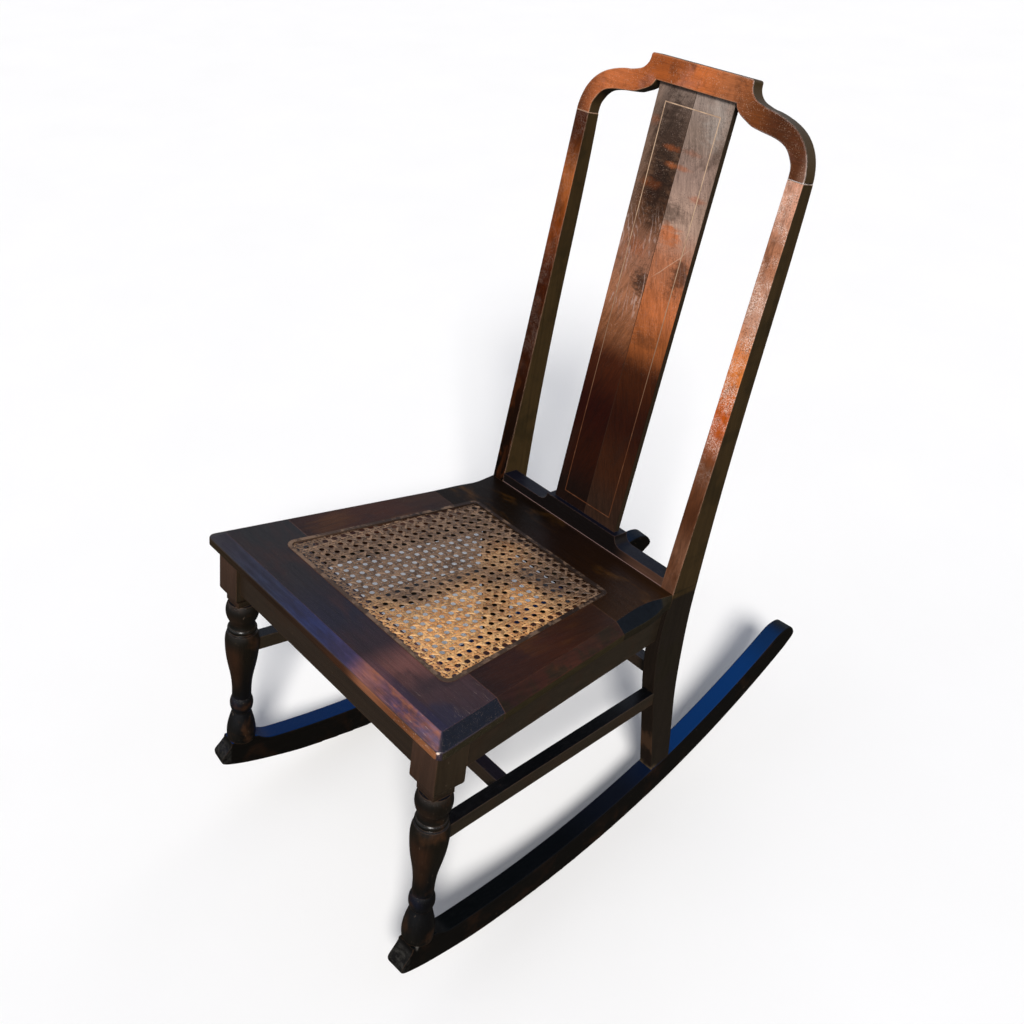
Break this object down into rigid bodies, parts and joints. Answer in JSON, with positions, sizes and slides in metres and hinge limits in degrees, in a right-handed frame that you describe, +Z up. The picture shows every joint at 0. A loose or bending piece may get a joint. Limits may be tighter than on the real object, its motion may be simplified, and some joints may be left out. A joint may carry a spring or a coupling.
{
  "type": "rocking chair",
  "caption": "Armless wooden rocking chair with a caned seat, turned front legs, a tall splat back and a shaped crest rail.",
  "frame": {"origin": "on the floor, at the middle of the chair's overall length and width, as the empty chair stands balanced on its rockers", "axes": "+Z up, +Y to the back of the chair, +X to the sitter's left"},
  "size_m": [0.4428, 0.7236, 0.8581],
  "materials": {
    "leg_varnish": "semi-gloss dark mahogany varnish, nearly black",
    "back_varnish": "worn semi-gloss red-brown varnish",
    "seat_varnish": "worn semi-gloss dark red-brown varnish",
    "figured_veneer": "figured veneer under aged dusty varnish",
    "stringing": "pale holly or maple line",
    "cane": "natural woven rattan cane, aged",
    "spline_reed": "stained reed",
    "dowel_birch": "plain birch, hidden in the joints"
  },
  "bodies": {
    "root": {"cane_panel": "cane", "cane_spline": "spline_reed", "crest_dowels": "dowel_birch", "crest_rail": "back_varnish", "front_apron": "leg_varnish", "front_leg_left": "leg_varnish", "front_leg_right": "leg_varnish", "medial_stretcher": "leg_varnish", "rear_apron": "leg_varnish", "rear_leg_dowels": "dowel_birch", "rear_post_left": "back_varnish", "rear_post_right": "back_varnish", "rear_stretcher": "leg_varnish", "rocker_left": "leg_varnish", "rocker_right": "leg_varnish", "seat_board_dowels": "dowel_birch", "seat_front_board": "seat_varnish", "seat_rear_board": "seat_varnish", "seat_side_board_left": "seat_varnish", "seat_side_board_right": "seat_varnish", "shoe_rail": "seat_varnish", "side_apron_left": "leg_varnish", "side_apron_right": "leg_varnish", "side_stretcher_left": "leg_varnish", "side_stretcher_right": "leg_varnish", "splat": "seat_varnish", "splat_stringing": "stringing", "splat_veneer_left": "figured_veneer", "splat_veneer_right": "figured_veneer"}
  },
  "joints": []
}
